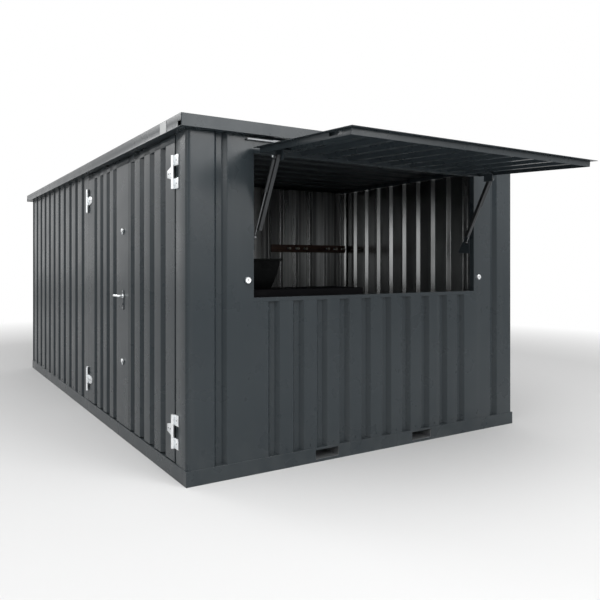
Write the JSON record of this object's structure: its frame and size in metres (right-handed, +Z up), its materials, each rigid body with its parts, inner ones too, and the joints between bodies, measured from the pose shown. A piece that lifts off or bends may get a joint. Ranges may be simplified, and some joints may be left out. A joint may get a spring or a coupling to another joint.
{
  "type": "quick-build steel container bar",
  "caption": "Ribbed steel container bar with a lift-up serving hatch on stays in its front end and double doors in its side.",
  "frame": {"origin": "centre of the base, at ground level", "axes": "+X to the right along the front with the serving hatch, +Y to the rear, +Z up"},
  "size_m": [3.032, 5.8474, 2.18],
  "materials": {
    "anthracite_paint": "smooth anthracite grey paint, semi gloss",
    "roof_sheet": "painted ribbed roof sheet",
    "cover_strip": "light grey painted strip",
    "galvanised_steel": "hot-dip galvanised, faint spangle",
    "zinc_sheet": "bare zinc-coated sheet, as on the inside of the walls",
    "zinc_hardware": "bright zinc plated",
    "polished_rod": "polished",
    "floor_board": "film-faced plywood, matt",
    "counter_black": "black laminate",
    "tub_black": "black moulded plastic",
    "board_wood": "dark stained board"
  },
  "bodies": {
    "container": {"base_rail_front": "anthracite_paint", "base_rail_rear": "anthracite_paint", "base_rails_side": "anthracite_paint", "fork_tunnels": "galvanised_steel", "floor_joists": "galvanised_steel", "floor": "floor_board", "corner_posts": "anthracite_paint", "door_posts": "anthracite_paint", "hatch_jambs": "anthracite_paint", "hatch_rails": "anthracite_paint", "front_wall_sides": "anthracite_paint", "front_wall_lower": "anthracite_paint", "left_wall": "anthracite_paint", "right_wall": "anthracite_paint", "rear_wall": "anthracite_paint", "partition": "zinc_sheet", "top_rails_side": "anthracite_paint", "top_rails_end": "anthracite_paint", "roof_sheet": "roof_sheet", "fascias_side": "anthracite_paint", "fascias_end": "anthracite_paint", "fascia_joint_cover": "cover_strip", "door_hinge_posts": "zinc_hardware", "hatch_hinge_posts": "zinc_hardware", "stay_gussets": "galvanised_steel", "hatch_locks": "zinc_hardware", "counter": "counter_black", "tub": "tub_black", "hook_board": "board_wood", "hooks": "zinc_hardware"},
    "side_leaf": {"door_side_leaf": "anthracite_paint", "hinge_plates_side_leaf": "zinc_hardware"},
    "main_leaf": {"door_main_leaf": "anthracite_paint", "hinge_plates_main_leaf": "zinc_hardware", "door_lock_plates": "zinc_hardware"},
    "lever": {"door_lever": "zinc_hardware"},
    "hatch": {"hatch_skin": "anthracite_paint", "hatch_side_flanges": "anthracite_paint", "hatch_long_flanges": "anthracite_paint", "hatch_hinge_straps": "zinc_hardware", "hatch_brackets": "galvanised_steel"},
    "spring_left": {"spring_tube_left": "galvanised_steel", "stay_strut_left": "galvanised_steel"},
    "rod_left": {"spring_rod_left": "polished_rod"},
    "spring_right": {"spring_tube_right": "galvanised_steel", "stay_strut_right": "galvanised_steel"},
    "rod_right": {"spring_rod_right": "polished_rod"}
  },
  "joints": [
    {"name": "side_leaf_swing", "type": "hinge", "parent": "container", "child": "side_leaf", "pos_m": [-1.469, -2.23, 1.08], "axis": [0, 0, 1], "range_deg": [0, 115]},
    {"name": "main_leaf_swing", "type": "hinge", "parent": "container", "child": "main_leaf", "pos_m": [-1.469, -0.259, 1.08], "axis": [0, 0, 1], "range_deg": [-115, 0]},
    {"name": "lever_turn", "type": "hinge", "parent": "main_leaf", "child": "lever", "pos_m": [-1.455, -1.232, 1.072], "axis": [1, 0, 0], "range_deg": [-40, 0], "stiffness_Nm_per_rad": 1, "springref_deg": 22.92},
    {"name": "hatch_swing", "type": "hinge", "parent": "container", "child": "hatch", "pos_m": [0, -2.418, 2.038], "axis": [1, 0, 0], "range_deg": [0, 87]},
    {"name": "spring_left_swing", "type": "hinge", "parent": "hatch", "child": "spring_left", "pos_m": [0, -2.59882, 1.95342], "axis": [1, 0, 0], "range_deg": [-118, 0]},
    {"name": "rod_left_slide", "type": "slide", "parent": "spring_left", "child": "rod_left", "axis": [0, 0.4504, -0.8928], "range_m": [-0.16, 0]},
    {"name": "spring_right_swing", "type": "hinge", "parent": "hatch", "child": "spring_right", "pos_m": [0, -2.59882, 1.95342], "axis": [1, 0, 0], "range_deg": [-118, 0]},
    {"name": "rod_right_slide", "type": "slide", "parent": "spring_right", "child": "rod_right", "axis": [0, 0.4504, -0.8928], "range_m": [-0.16, 0]}
  ],
  "couplings": [
    {"joint": "spring_left_swing", "follows": "hatch_swing", "ratio": -1.3377},
    {"joint": "rod_left_slide", "follows": "hatch_swing", "m_per_rad": -0.1033},
    {"joint": "spring_right_swing", "follows": "hatch_swing", "ratio": -1.3377},
    {"joint": "rod_right_slide", "follows": "hatch_swing", "m_per_rad": -0.1033}
  ]
}
